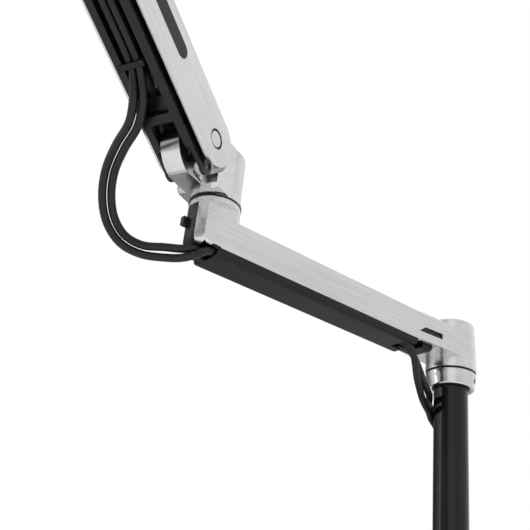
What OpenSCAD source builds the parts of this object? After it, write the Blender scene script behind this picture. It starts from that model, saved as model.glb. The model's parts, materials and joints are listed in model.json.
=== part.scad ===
// Desk-clamp monitor arm: clamp base and pole, swivelling extension, sprung parallel lift arm,
// pan, tilt and rotation head with a display plate, and two cables led through the arm.
// Origin: pole axis at the desk's top surface. +Z is up and the lift arm points along -Y.

/* [Pole and clamp] */
// Outside diameter of the pole
pole_od = 35; // [34:0.5:36]
// Height of the collar's top face above the desk
collar_top = 339; // [300:1:360]
// Width of the base plate
base_w = 120; // [110:1:140]
// Thickness of the desk that the clamp is set to
desk_set = 25; // [20:1:40]

/* [Extension] */
// Distance from the pole axis to the elbow axis
ext_len = 318; // [300:1:340]
// Turn of the extension away from the lift arm's direction
ext_turn = 24; // [20:1:40]
// Width of the beam
beam_w = 40; // [40:1:42]
// Height of the beam
beam_h = 30; // [28:1:32]

/* [Lift arm] */
// Pivot to pivot length of both links
arm_len = 395; // [360:1:420]
// Lift angle above the horizontal at rest
arm_lift = 28; // [20:1:35]
// Outside width of the upper link
shell_w = 48; // [48:1:50]
// Side height of the upper link
shell_h = 49; // [48:1:51]
// Vertical distance between the upper and lower pivots
pivot_gap = 24; // [23:1:26]
// Outside width of the lower link
lower_w = 36; // [35:1:37]

/* [Head] */
// Side of the square display plate
plate_w = 116; // [112:1:124]
// Hole spacing of the larger display pattern
vesa_big = 100; // [100:1:100]
// Hole spacing of the smaller display pattern
vesa_small = 75; // [75:1:75]

/* [Cables] */
// Diameter of both cables
cable_d = 7; // [6:0.5:7]

/* [Hidden] */
$fn = 64;
fit = 0.05;                             // radial running clearance
gap = 0.3;                              // clearance between moving faces

// Heights of the pole joint, from the collar up
pole_r = pole_od / 2;
bush_t = 2;                             // thickness of both black bush rings
socket_z = collar_top + bush_t;         // underside of the extension's socket
beam_z = socket_z + 12;                 // underside of the beam
beam_top = beam_z + beam_h;
socket_top = socket_z + 54;
post_top = beam_top + 15;
elbow_z = post_top + bush_t / 2;        // middle of the elbow's bush ring
beam_half = beam_w / 2;
post_r = 23;                            // radius of the elbow post's rim and of the turret's foot
liner_r = pole_r + 1.75;                // outer radius of the socket's liner
collar_low = collar_top - 16;
pole_top = socket_top - 2;

// Elbow position in plan
elbow = [-ext_len * sin(ext_turn), -ext_len * cos(ext_turn)];

// Pivots, in the turret's own frame: forward is -Y from the elbow axis, up from elbow_z
pivot_fwd = 48;
main_up = 36;
low_up = main_up - pivot_gap;
horn = [68, 28];                        // spring pin on the turret: forward, up
main_pin_r = 6;
low_pin_r = 4;
drum_r = 21.6;                          // turret's drum above its foot
horn_pin_r = 3;
pin_w = 42.4;                           // length of both main pivot pins
cap_r = 7.2;
boss_r = 11.8;                          // bosses inside both ends of the upper link

shell_half = shell_w / 2;
shell_wall = 3.2;
shell_in = shell_half - shell_wall;
shell_hi = shell_h / 2;                 // shell's edges above and below its pivot line
shell_lo = -shell_h / 2;
end_r = shell_h / 2;

lower_half = lower_w / 2;
lower_wall = 3;
lower_lo = -9.5;                        // rim of the lower link under its pivot line
lower_hi = 6;

// Head positions along the lift arm's direction from the elbow, and above elbow_z
head_fwd = pivot_fwd + arm_len * cos(arm_lift);
head_up = main_up + arm_len * sin(arm_lift);
pan_fwd = head_fwd + 40;
tilt_fwd = pan_fwd + 40;
tilt_up = head_up - 32;
plate_fwd = tilt_fwd + 30;
boss_lo = head_up - 34;
boss_hi = head_up - 4;

// ---------------------------------------------------------------- helpers

// Points of an arc about [x, y], from angle a to angle b
function arc(x, y, r, a, b, n = 8) =
    [for (i = [0:n]) [x + r * cos(a + (b - a) * i / n), y + r * sin(a + (b - a) * i / n)]];

module tube(r_out, r_in, h) {
    difference() {
        cylinder(r = r_out, h = h);
        translate([0, 0, -1]) cylinder(r = r_in, h = h + 2);
    }
}

// A cylinder along X, centred on x = 0
module cross_cyl(r, w) {
    rotate([0, 90, 0]) cylinder(r = r, h = w, center = true);
}

// A plate in the YZ plane centred on x = 0, drawn as [forward, up] with forward along -Y
module side_plate(w) {
    translate([-w / 2, 0, 0]) rotate([90, 0, 0]) rotate([0, -90, 0])
        mirror([0, 0, 1]) linear_extrude(w) children();
}

// Frames: the extension's beam runs along -Y, the arm's forward is -Y
module on_extension() { rotate([0, 0, -ext_turn]) children(); }
module at_elbow() { translate([0, -ext_len, 0]) children(); }
module on_turret() { translate([elbow[0], elbow[1], elbow_z]) children(); }
module on_upper_link() {
    on_turret() translate([0, -pivot_fwd, main_up]) rotate([-arm_lift, 0, 0]) children();
}
module on_lower_link() {
    on_turret() translate([0, -pivot_fwd, low_up]) rotate([-arm_lift, 0, 0]) children();
}

// ---------------------------------------------------------------- base and clamp

plate_z = 2;
plate_t = 8;
plate_top = plate_z + plate_t;
rear_y = 40;
front_y = -62;
web_t = 6;
jaw_z = -73;
jaw_t = 8;
boss_t = 12;
screw_r = 8;
screw_y = -8;
foot_top = -desk_set;
flange_r = 32;
flange_t = 12;
flange_screw_r = 25;

module rounded_slab(w, y0, y1, h, r) {
    linear_extrude(h) union() {
        translate([-w / 2 + r, y0]) square([w - 2 * r, y1 - y0]);
        translate([-w / 2, y0 + r]) square([w, y1 - y0 - 2 * r]);
        for (x = [-1, 1], y = [y0 + r, y1 - r])
            translate([x * (w / 2 - r), y]) circle(r);
    }
}

module base_plate() {
    color("dimgray") difference() {
        translate([0, 0, plate_z]) rounded_slab(base_w, front_y, rear_y, plate_t, 14);
        for (a = [45:90:315]) rotate([0, 0, a])
            translate([flange_screw_r, 0, plate_z + 2]) cylinder(r = 2.5, h = plate_t);
        for (x = [-45, 45]) translate([x, 29, plate_z + 2]) cylinder(r = 3, h = plate_t);
    }
}

module desk_pad() {
    color("black") rounded_slab(base_w - 6, front_y + 3, rear_y - 3, plate_z, 12);
}

module clamp_bracket() {
    color("dimgray") difference() {
        union() {
            for (x = [-56, 34]) translate([x, 20, plate_top]) cube([22, rear_y + web_t - 20, 5]);
            translate([-56, rear_y, -60]) cube([112, web_t, plate_top + 65]);
            translate([-30, rear_y, jaw_z]) cube([60, web_t, 20]);
            translate([-30, screw_y - 22, jaw_z]) cube([60, rear_y - screw_y + 22, jaw_t]);
            translate([0, screw_y, jaw_z - boss_t + 1]) cylinder(r = 15, h = boss_t);
        }
        translate([0, screw_y, jaw_z - boss_t]) cylinder(r = screw_r + fit, h = 40);
        for (x = [-45, 45]) translate([x, 29, plate_top - 1]) cylinder(r = 3.2, h = 10);
    }
}

// A cap screw standing at z = 0, head upwards
module cap_screw(shank_r, length, head_r, head_h) {
    difference() {
        union() {
            translate([0, 0, -length]) cylinder(r = shank_r, h = length);
            cylinder(r = head_r, h = head_h);
        }
        translate([0, 0, head_h * 0.4]) cylinder(r = shank_r * 0.9, h = head_h, $fn = 6);
    }
}

module bracket_screws() {
    color("silver") for (x = [-45, 45])
        translate([x, 29, plate_top + 5]) cap_screw(2.95, 11, 6, 5);
}

module pole_flange() {
    color("dimgray") translate([0, 0, plate_top]) difference() {
        rotate_extrude() polygon(concat([[pole_r + 0.02, 0], [flange_r, 0]],
            arc(flange_r - 4, flange_t - 5, 4, 0, 90),
            [[pole_r + 3, flange_t + 3], [pole_r + 0.02, flange_t + 3]]));
        for (a = [45:90:315]) rotate([0, 0, a]) translate([flange_screw_r, 0, -1]) {
            cylinder(r = 2.7, h = flange_t + 6);
            translate([0, 0, 6]) cylinder(r = 5, h = flange_t);
        }
    }
}

module flange_screws() {
    color("silver") for (a = [45:90:315]) rotate([0, 0, a])
        translate([flange_screw_r, 0, plate_top + 6]) cap_screw(2.45, 10, 4.6, 4.5);
}

module pole() {
    color("black") translate([0, 0, plate_top]) tube(pole_r, pole_r - 2.5, pole_top - plate_top);
}

module pole_cap() {
    color("black") translate([0, 0, pole_top]) {
        cylinder(r = pole_r, h = 2.5);
        translate([0, 0, -12]) cylinder(r = pole_r - 2.5 - fit, h = 12);
    }
}

// Two C-shaped guides on the pole that hold the cables behind it
clip_turn = 119;                        // direction of the cables behind the pole
clip_zs = [60, 165];
module pole_clips() {
    run_r = pole_r + cable_d / 2 + 4;
    color("black") for (z = clip_zs) rotate([0, 0, clip_turn]) translate([0, 0, z]) difference() {
        union() {
            tube(pole_r + 2, pole_r + 0.02, 12);
            translate([pole_r, -10, 0]) cube([11, 20, 12]);
        }
        for (s = [-1, 1]) translate([run_r, s * 4.2, -1]) cylinder(r = cable_d / 2 + 0.4, h = 14);
        translate([-40, -30, -1]) cube([30, 60, 14]);
    }
}

module clamp_foot() {
    color("black") translate([0, screw_y, foot_top]) difference() {
        union() {
            translate([0, 0, -7]) cylinder(r = 22, h = 7);
            translate([0, 0, -15]) cylinder(r = 13, h = 9);
        }
        translate([0, 0, -16]) cylinder(r = screw_r + fit, h = 8);
    }
}

screw_len = 92;
module clamp_screw() {
    color("silver") translate([0, screw_y, foot_top - 8 - gap - screw_len])
        cylinder(r = screw_r, h = screw_len);
}

module clamp_knob() {
    color("black") translate([0, screw_y, foot_top - 8 - gap - screw_len - 6]) difference() {
        union() {
            cylinder(r = 19, h = 18);
            for (a = [0:60:300]) rotate([0, 0, a]) translate([19, 0, 0]) cylinder(r = 7, h = 18);
        }
        translate([0, 0, 6]) cylinder(r = screw_r, h = 20);
    }
}

// ---------------------------------------------------------------- height collar

collar_r = 26;
collar_waist = 24.3;
ear_turn = 150;                         // direction of the collar's split ear

module height_collar() {
    ear_x = collar_waist - 3;
    color("gainsboro") rotate([0, 0, ear_turn]) difference() {
        union() {
            rotate_extrude() polygon(concat(
                [[liner_r, collar_low + 1.2]],
                arc(collar_waist - 1.6, collar_low + 1.6, 1.6, 270, 360, 4),
                [[collar_waist + 0.2, collar_low + 5], [collar_waist + 0.8, collar_low + 9],
                 [collar_r, collar_low + 13]],
                arc(collar_r - 0.8, collar_top - 0.8, 0.8, 0, 90, 3),
                [[liner_r, collar_top]]));
            translate([ear_x, -8, collar_low + 1]) cube([8, 16, 12]);
        }
        translate([liner_r - 3, -1, collar_low - 1]) cube([30, 2, 20]);
        translate([ear_x + 5.5, 20, collar_low + 6.5]) rotate([90, 0, 0]) cylinder(r = 2.2, h = 40);
        rotate([0, 0, -ear_turn]) translate([15, 0, collar_low + 8]) rotate([0, 90, 0])
            cylinder(r = 2.6, h = 20);
    }
}

module collar_sleeve() {
    color("black") translate([0, 0, collar_low + 0.4])
        tube(liner_r - fit, pole_r + fit, collar_top - collar_low - 0.4);
}

module collar_screws() {
    ear_x = collar_waist - 3;
    color("silver") {
        rotate([0, 0, ear_turn]) translate([ear_x + 5.5, -8, collar_low + 6.5]) rotate([90, 0, 0])
            cap_screw(2.15, 15, 3.6, 3.4);
        translate([liner_r, 0, collar_low + 8]) rotate([0, 90, 0]) difference() {
            cylinder(r = 2.55, h = 3.6);
            translate([0, 0, 1.6]) cylinder(r = 1.3, h = 4, $fn = 6);
        }
    }
}

module swivel_bush() {
    color("black") translate([0, 0, collar_top]) tube(collar_r - 0.4, pole_r + fit, bush_t - gap / 3);
}

// ---------------------------------------------------------------- extension

channel_half = 15;
slot_lo = 8;                            // side slot above the beam's underside
slot_h = 6;
tray_half = 18.5;
tray_end = 72;                          // open end of the tray, along from the pole
lid_end = 46;                           // end of the shallow lid between the tray and the socket
lid_drop = 4;
wrap_half = 7.5;                        // half width of the cover's front wall

// Outline of the side slot, [along the beam, up]
module slot_outline(inset = 0) {
    z = beam_z + slot_lo;
    polygon([[40 + inset, z + inset], [72 - 3 * inset, z + inset],
             [64 - inset, z + slot_h - inset], [40 + inset, z + slot_h - inset]]);
}

// Section of the beam, with a leaning strip along both lower edges; top_half gives a taper
module beam_section(half = beam_half, top_half = beam_half) {
    e = 3;
    polygon(concat(
        [[-half + 1.4, beam_z], [half - 1.4, beam_z], [half, beam_z + 7]],
        arc(top_half - e, beam_top - e, e, 0, 90, 6), arc(-top_half + e, beam_top - e, e, 90, 180, 6),
        [[-half, beam_z + 7]]));
}

flare_from = 76;                        // where the beam starts to widen towards the socket
flare_half = 25.7;                      // its half width beside the socket, low and high
flare_top_half = 24.7;
heel_r = 8;                             // round under the elbow post's front
nose_r = 19;                            // round under the cover's front
tray_drop = 7;
tray_low = beam_z - tray_drop;
tray_wall = 1.5;

// Rounded lower front of the elbow post
module post_profile() {
    polygon(concat([[0, beam_z]], arc(post_r - heel_r, beam_z + heel_r, heel_r, 270, 360, 8),
        [[post_r, post_top - 4], [0, post_top - 4]]));
}

// Half section of the cover's rounded front, which also cups the post's heel
nose_x = post_r - nose_r;
nose_z = tray_low + nose_r;
nose_inner = concat(arc(nose_x, nose_z, nose_r - tray_wall, 315, 270, 6), [[0, tray_low + tray_wall]]);
module nose_profile() {
    polygon(concat([[0, tray_low]], arc(nose_x, nose_z, nose_r, 270, 323, 8),
        arc(post_r - heel_r, beam_z + heel_r, heel_r + 0.4, 300, 282, 4), nose_inner));
}

// The same where the front wall rises out of it
module nose_front_profile() {
    polygon(concat([[0, tray_low]], arc(nose_x, nose_z, nose_r, 270, 360, 9),
        [[post_r, nose_z + 2], [post_r - 2.2, nose_z + 2], [post_r - 2.2, nose_z]], nose_inner));
}

// Plan of the elbow post: its sides draw in towards the front
module post_plan() {
    polygon([[-beam_half, 30], [-beam_half, 0], [-11.5, -36], [11.5, -36], [beam_half, 0],
        [beam_half, 30]]);
}

module extension_beam() {
    rim_z = post_top - 5;
    color("gainsboro") on_extension() difference() {
        union() {
            rotate_extrude() polygon(concat(
                [[0, socket_z], [26.2, socket_z], [26.4, socket_z + 1]],
                [[24.6, socket_top - 4]], arc(20.6, socket_top - 4, 4, 0, 90, 6), [[0, socket_top]]));
            rotate([90, 0, 0]) linear_extrude(ext_len) beam_section();
            hull() {
                translate([0, -flare_from, 0]) rotate([90, 0, 0]) linear_extrude(0.1) beam_section();
                translate([0, -2, 0]) rotate([90, 0, 0]) linear_extrude(0.1)
                    beam_section(flare_half, flare_top_half);
            }
            at_elbow() {
                translate([0, 0, rim_z]) cylinder(r = post_r, h = post_top - rim_z);
                intersection() {
                    rotate_extrude() post_profile();
                    translate([0, 0, beam_z]) linear_extrude(60) post_plan();
                }
            }
        }
        translate([0, 0, socket_z - 1]) cylinder(r = liner_r, h = 60);
        translate([-channel_half, -ext_len - 15, beam_z - 1])
            cube([2 * channel_half, ext_len - 30, beam_h - 5]);
        at_elbow() {
            translate([0, 0, beam_z + 18]) cylinder(r = 16, h = 60);
            translate([0, 0, beam_z - 1]) cylinder(r = 17.5, h = 20);
            translate([-wrap_half - gap, -40, beam_z - 1])
                cube([2 * wrap_half + 2 * gap, 24, post_top - 5 - beam_z + 1]);
        }
        for (s = [-1, 1]) translate([s * (beam_half + 2), 0, 0]) side_plate(8.2) slot_outline();
    }
}

module socket_liner() {
    color("black") on_extension() translate([0, 0, socket_z + gap])
        tube(liner_r - fit, pole_r + fit, socket_top - socket_z - 1);
}

module slot_inserts() {
    color("black") on_extension() for (s = [-1, 1])
        translate([s * (beam_half - 0.9), 0, 0]) side_plate(1.9) slot_outline(0.2);
}

// Section of the tray under the beam, as wide as w on each side and down to low
module tray_section(w, low, r) {
    polygon(concat(arc(w - r, low + r, r, 270, 360, 6), [[w, beam_z], [-w, beam_z]],
        arc(r - w, low + r, r, 180, 270, 6)));
}

module cable_cover() {
    color("black") on_extension() difference() {
        union() {
            translate([0, -tray_end, 0]) rotate([90, 0, 0]) linear_extrude(ext_len + 2 - tray_end)
                difference() {
                    tray_section(tray_half, tray_low, 6.5);
                    translate([0, 0.01]) tray_section(tray_half - tray_wall, tray_low + tray_wall, 5);
                }
            translate([0, -lid_end, 0]) rotate([90, 0, 0]) linear_extrude(tray_end - lid_end + 2)
                tray_section(channel_half - 1, beam_z - lid_drop, 3);
            for (s = [-1, 1]) translate([s * 13.8 - 1, -ext_len + 22, tray_low + 1.4])
                cube([2, ext_len - 132, 9]);
            at_elbow() intersection() {
                rotate_extrude() nose_profile();
                translate([-tray_half, -40, tray_low - 1]) cube([2 * tray_half, 39, 40]);
            }
            at_elbow() intersection() {
                union() {
                    rotate_extrude() nose_front_profile();
                    translate([0, 0, nose_z + 1]) tube(post_r, post_r - 2.2, post_top - nose_z - 6.5);
                }
                translate([-wrap_half, -40, 0]) cube([2 * wrap_half, 39, 600]);
            }
            at_elbow() translate([-7, -post_r - 5, beam_z + 19]) cube([5, 7.5, 8]);
        }
        at_elbow() translate([0, -34, tray_low - 1]) cube([17, 32, 9]);
        translate([-5, -tray_end - 14, tray_low - 1]) cube([20, 26, 10]);
    }
}

module elbow_bush() {
    color("black") on_extension() at_elbow()
        translate([0, 0, post_top]) tube(post_r + 0.4, 12.5, bush_t - gap / 3);
}

module elbow_sleeve() {
    color("white") on_extension() at_elbow()
        translate([0, 0, beam_z + 18.5]) tube(16 - fit, 12 + fit, post_top - beam_z - 18.5);
}

// ---------------------------------------------------------------- turret

// Profile of the turret's neck and forward tongue, [forward, up]
module neck_outline() {
    polygon(concat([[0, 1], [30, 1], [33, 0]], [[60, -2]], arc(52, 24, 28, -65, -4, 6),
        [[79, 30], [72, 36]], arc(pivot_fwd, main_up, 15, 20, 135, 8), [[20, 42], [0, 42]]));
}

module turret() {
    color("gainsboro") on_turret() difference() {
        union() {
            rotate_extrude() polygon(concat([[0, 1], [post_r, 1], [post_r, 3], [drum_r, 8],
                [drum_r, 50]], arc(drum_r - 3, 52, 3, 0, 90, 4), [[0, 55]]));
            side_plate(40) difference() {
                polygon([[0, 1.2], [29, 1.2], [32.5, 4], [32.5, 14], [28, 52], [0, 52]]);
                translate([pivot_fwd, main_up]) circle(28);
            }
            side_plate(18) neck_outline();
            side_plate(24) intersection() {
                neck_outline();
                square([pivot_fwd + 9, 60]);
            }
            translate([0, -pivot_fwd, main_up]) cross_cyl(boss_r, 2 * (shell_in - gap));
            translate([0, -pivot_fwd, low_up]) cross_cyl(8.5, 2 * (lower_half - lower_wall - gap));
        }
        side_plate(80) polygon([[-40, 48], [-8, 49], [40, 57], [40, 80], [-40, 80]]);
        translate([0, 0, -1]) cylinder(r = 12.02, h = 17);
        translate([0, -pivot_fwd, main_up]) cross_cyl(main_pin_r + 0.02, 60);
        translate([0, -pivot_fwd, low_up]) cross_cyl(low_pin_r + 0.02, 60);
        translate([0, -horn[0], horn[1]]) cross_cyl(horn_pin_r + 0.02, 60);
    }
}

module elbow_spindle() {
    bottom = beam_z + 12.5;
    color("silver") translate([elbow[0], elbow[1], bottom])
        cylinder(r = 12, h = elbow_z + 15.5 - bottom);
}

module spindle_nut() {
    color("dimgray") translate([elbow[0], elbow[1], beam_z + 10]) {
        difference() {
            cylinder(r = 15.5, h = 8, $fn = 6);
            translate([0, 0, 2.5]) cylinder(r = 12, h = 8);
        }
    }
}

module turret_pins() {
    color("silver") on_turret() {
        translate([0, -pivot_fwd, main_up]) cross_cyl(main_pin_r, pin_w);
        translate([0, -pivot_fwd, low_up]) cross_cyl(low_pin_r, lower_w - 1);
        translate([0, -horn[0], horn[1]]) cross_cyl(horn_pin_r, 26);
    }
}

// ---------------------------------------------------------------- lift arm, upper link

nut_at = 250;                           // tension nut along the link at rest
spring_w = 0;                           // spring's centre line above the pivot line
spring_r = 9.5;
rod_len = 64;                           // yoke from its pin to its seat
screw_wall = 334;

// The yoke points from the horn pin to the spring seat
function from_main(p) = [p[0] - pivot_fwd, p[1] - main_up];
function along_link(v) = v[0] * cos(arm_lift) + v[1] * sin(arm_lift);
function over_link(v) = -v[0] * sin(arm_lift) + v[1] * cos(arm_lift);
spring_from = along_link(from_main(horn)) + rod_len + 1;
yoke_turn = arm_lift + asin((spring_w - over_link(from_main(horn))) / rod_len);

module spring_yoke() {
    color("silver") on_turret() translate([0, -horn[0], horn[1]]) rotate([-yoke_turn, 0, 0]) {
        difference() {
            union() {
                for (s = [-1, 1]) translate([s * 11, 0, 0]) {
                    cross_cyl(5, 2.6);
                    translate([-1.3, -40, -4]) cube([2.6, 40, 8]);
                }
                translate([-12.3, -44, -4]) cube([24.6, 6, 8]);
                translate([0, -42, 0]) rotate([90, 0, 0]) cylinder(r = 4, h = rod_len - 42);
                translate([0, 3 - rod_len, 0]) rotate([90, 0, 0]) cylinder(r = spring_r, h = 3);
            }
            cross_cyl(horn_pin_r + fit, 40);
        }
    }
}

module shell_outline() {
    translate([0, shell_lo]) square([arm_len, shell_h]);
    for (u = [0, arm_len]) translate([u, 0]) circle(end_r);
}

plaque_from = 71;
plaque_len = 124;
plaque_h = 15.5;
plaque_mid = 5.8;
module plaque_outline(inset = 0) {
    r = plaque_h / 2 - inset;
    translate([plaque_from + plaque_h / 2, plaque_mid - r]) square([plaque_len - plaque_h, 2 * r]);
    for (u = [plaque_from + plaque_h / 2, plaque_from + plaque_len - plaque_h / 2])
        translate([u, plaque_mid]) circle(r);
}

module upper_link() {
    color("gainsboro") on_upper_link() difference() {
        union() {
            for (s = [-1, 1]) translate([s * (shell_half - shell_wall / 2), 0, 0])
                side_plate(shell_wall) shell_outline();
            side_plate(shell_w) translate([-4, shell_hi - shell_wall])
                square([arm_len + 8, shell_wall]);
            side_plate(2 * shell_in + 1) translate([screw_wall, -10])
                square([6, shell_hi + 9]);
        }
        for (u = [0, arm_len]) translate([0, -u, 0]) {
            cross_cyl(main_pin_r + fit, 80);
            for (s = [-1, 1]) translate([s * shell_half, 0, 0]) cross_cyl(cap_r + 1.8, 4.8);
        }
        for (s = [-1, 1]) translate([s * shell_half, 0, 0]) side_plate(2) plaque_outline();
        translate([0, -screw_wall + 10, spring_w]) rotate([90, 0, 0]) cylinder(r = 4 + fit, h = 40);
    }
}

module pivot_caps() {
    color("silver") on_upper_link() for (u = [0, arm_len], s = [-1, 1])
        translate([s * (shell_half - 1.35), -u, 0]) cross_cyl(cap_r, 1.9);
}

module side_plaques() {
    color("black") on_upper_link() for (s = [-1, 1])
        translate([s * (shell_half - 0.4), 0, 0]) side_plate(1.2) plaque_outline(0.15);
}

module tension_spring() {
    from = spring_from;
    color("dimgray") on_upper_link() translate([0, -from, spring_w]) rotate([90, 0, 0])
        tube(spring_r, spring_r - 3, nut_at - 12 - gap - from);
}

module tension_nut() {
    color("goldenrod") on_upper_link() translate([0, -nut_at, spring_w]) rotate([90, 0, 0])
        difference() {
            union() {
                translate([-14, -9, -8]) cube([28, 18, 12]);
                translate([0, 0, -12]) cylinder(r = spring_r, h = 5);
            }
            translate([0, 0, -20]) cylinder(r = 4 + fit, h = 40);
        }
}

module tension_screw() {
    color("silver") on_upper_link() translate([0, -nut_at + 12, spring_w]) rotate([90, 0, 0])
        difference() {
            union() {
                cylinder(r = 4, h = screw_wall + 6 - nut_at + 12 + gap);
                translate([0, 0, screw_wall + 6 - nut_at + 12 + gap]) cylinder(r = 7, h = 7);
                translate([0, 0, screw_wall - nut_at + 12 - 4 - gap]) cylinder(r = 7, h = 4);
            }
            translate([0, 0, screw_wall - nut_at + 22]) cylinder(r = 3, h = 10, $fn = 6);
        }
}

// ---------------------------------------------------------------- lift arm, lower link

bar_at = 46;                            // cross-bar between the link's two windows
clip_at = [98, 200, 305];               // cable clips along the lower link
lip = 7;                                // width of the channel's inward lips

module lower_side_outline() {
    translate([0, lower_lo]) square([arm_len, lower_hi - lower_lo]);
    for (u = [0, arm_len]) translate([u, (lower_lo + lower_hi) / 2])
        circle((lower_hi - lower_lo) / 2 + 0.8);
}

module lower_link() {
    web_from = bar_at + 8;
    web_to = arm_len - 44;
    color("black") on_lower_link() difference() {
        union() {
            for (s = [-1, 1]) translate([s * (lower_half - lower_wall / 2), 0, 0])
                side_plate(lower_wall) lower_side_outline();
            for (s = [-1, 1]) translate([s * (lower_half - lip / 2), 0, 0])
                side_plate(lip) translate([22, lower_lo]) square([arm_len - 44, 2]);
            side_plate(lower_w - 1) translate([web_from - 2, 0.5])
                square([web_to - web_from + 2, 2.5]);
            side_plate(lower_w - 1) translate([bar_at, lower_lo]) square([8, 6]);
            side_plate(20) translate([bar_at + 7, -4]) square([14, 6]);
            side_plate(lower_w - 1) translate([web_to - 4, 0.5]) square([8, 5]);
        }
        for (u = [0, arm_len]) translate([0, -u, 0]) cross_cyl(low_pin_r + fit, 60);
        translate([1, -bar_at - 40, 0]) cube([8, 16, 20]);
    }
}

// Flat bars with a turned-up end that hold the cables in the channel
module cable_clips() {
    color("black") on_lower_link() for (u = clip_at) translate([0, -u, lower_lo - 1.6]) {
        translate([-lower_half + 3, -2.5, 0]) cube([lower_half + 6, 5, 1.6]);
        translate([6, -2.5, 0]) cube([1.6, 5, 8]);
    }
}

// ---------------------------------------------------------------- head

module head_block() {
    color("gainsboro") on_turret() difference() {
        union() {
            translate([0, -head_fwd, head_up]) cross_cyl(boss_r, 2 * (shell_in - gap));
            translate([0, -head_fwd, head_up - pivot_gap])
                cross_cyl(8.5, 2 * (lower_half - lower_wall - gap));
            side_plate(24) polygon([[head_fwd - 8, head_up - pivot_gap - 8],
                [head_fwd + 12, boss_lo], [pan_fwd, boss_lo], [pan_fwd, boss_hi],
                [head_fwd + 8, head_up + 10], [head_fwd - 6, head_up + 10],
                [head_fwd - 12, head_up]]);
            translate([0, -pan_fwd, boss_lo]) cylinder(r = 17, h = boss_hi - boss_lo);
        }
        translate([0, -pan_fwd, boss_lo - 1]) cylinder(r = 8 + fit, h = 60);
        translate([0, -pan_fwd, boss_hi]) cylinder(r = 13, h = 30);
        translate([0, -head_fwd, head_up]) cross_cyl(main_pin_r + 0.02, 60);
        translate([0, -head_fwd, head_up - pivot_gap]) cross_cyl(low_pin_r + 0.02, 60);
    }
}

module head_pins() {
    color("silver") on_turret() {
        translate([0, -head_fwd, head_up]) cross_cyl(main_pin_r, pin_w);
        translate([0, -head_fwd, head_up - pivot_gap])
            cross_cyl(low_pin_r, lower_w - 1);
    }
}

module pan_bush() {
    color("black") on_turret() translate([0, -pan_fwd, boss_lo - 1.8]) tube(17.4, 8 + fit, 1.8);
}

yoke_t = 9;
ear_in = 16;
ear_out = 22;
module pan_yoke() {
    deck = boss_lo - 2 - yoke_t;
    color("gainsboro") on_turret() difference() {
        union() {
            translate([0, -pan_fwd, deck]) cylinder(r = 17, h = yoke_t);
            translate([0, -pan_fwd, deck]) cylinder(r = 8, h = yoke_t + 2 + boss_hi - boss_lo + 3);
            translate([0, -pan_fwd, boss_hi + gap]) cylinder(r = 12, h = 2.7);
            translate([-ear_in - 1, -pan_fwd - 24, deck]) cube([2 * ear_in + 2, 20, yoke_t]);
            for (s = [-1, 1]) translate([s * (ear_in + ear_out) / 2, 0, 0]) side_plate(ear_out - ear_in) {
                translate([tilt_fwd, tilt_up]) circle(13);
                polygon([[pan_fwd + 6, deck], [pan_fwd + 24, deck], [tilt_fwd, tilt_up - 13],
                    [tilt_fwd, tilt_up + 13], [pan_fwd + 22, deck + yoke_t + 2],
                    [pan_fwd + 6, deck + yoke_t]]);
            }
        }
        translate([0, -tilt_fwd, tilt_up]) cross_cyl(4 + fit, 80);
    }
}

module tilt_block() {
    color("gainsboro") on_turret() difference() {
        union() {
            translate([0, -tilt_fwd, tilt_up]) cross_cyl(12.5, 2 * (ear_in - gap));
            translate([-12, -plate_fwd + 6, tilt_up - 10]) cube([24, plate_fwd - tilt_fwd - 4, 20]);
            translate([0, -plate_fwd + 8, tilt_up]) rotate([90, 0, 0]) cylinder(r = 20, h = 8 - gap);
        }
        translate([0, -tilt_fwd, tilt_up]) cross_cyl(4 + fit, 80);
        translate([0, -tilt_fwd - 14, tilt_up]) rotate([90, 0, 0]) cylinder(r = 4 + fit, h = 40);
    }
}

module tilt_bolt() {
    color("silver") on_turret() translate([0, -tilt_fwd, tilt_up]) {
        cross_cyl(4, 2 * ear_out + 4);
        translate([ear_out + 2.7, 0, 0]) difference() {
            cross_cyl(7, 5);
            translate([2.5, 0, 0]) rotate([0, 90, 0]) cylinder(r = 3.4, h = 6, center = true, $fn = 6);
        }
        translate([-ear_out - 3.2, 0, 0]) rotate([0, 90, 0])
            cylinder(r = 7.5, h = 6, center = true, $fn = 6);
    }
}

module display_plate() {
    color("dimgray") on_turret() translate([0, -plate_fwd, tilt_up]) rotate([90, 0, 0]) difference() {
        union() {
            translate([0, 0, 0]) rounded_slab(plate_w, -plate_w / 2, plate_w / 2, 3, 12);
            cylinder(r = 24, h = 5);
        }
        for (p = [vesa_small, vesa_big], x = [-1, 1], y = [-1, 1])
            translate([x * p / 2, y * p / 2, -1]) cylinder(r = 2.3, h = 10);
        translate([0, 0, -1]) cylinder(r = 4 + fit, h = 10);
        for (a = [0:90:270]) rotate([0, 0, a]) translate([-14, 38, -1]) cube([28, 9, 10]);
    }
}

module rotation_bolt() {
    color("silver") on_turret() translate([0, -plate_fwd, tilt_up]) rotate([90, 0, 0]) difference() {
        union() {
            translate([0, 0, -14]) cylinder(r = 4, h = 19 + gap);
            translate([0, 0, 5 + gap]) cylinder(r = 8, h = 3);
        }
        translate([0, 0, 6.5]) cylinder(r = 3, h = 5, $fn = 6);
    }
}

// ---------------------------------------------------------------- cables

cable_r = cable_d / 2;
sides = 10;

function unit(v) = v / norm(v);
function tangent(p, i) = unit(p[min(i + 1, len(p) - 1)] - p[max(i - 1, 0)]);
function carry(n, t) = unit(n - (n * t) * t);
function ring(c, t, n, r) = let (b = cross(t, n))
    [for (k = [0:sides - 1]) c + r * (cos(360 * k / sides) * n + sin(360 * k / sides) * b)];

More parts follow.
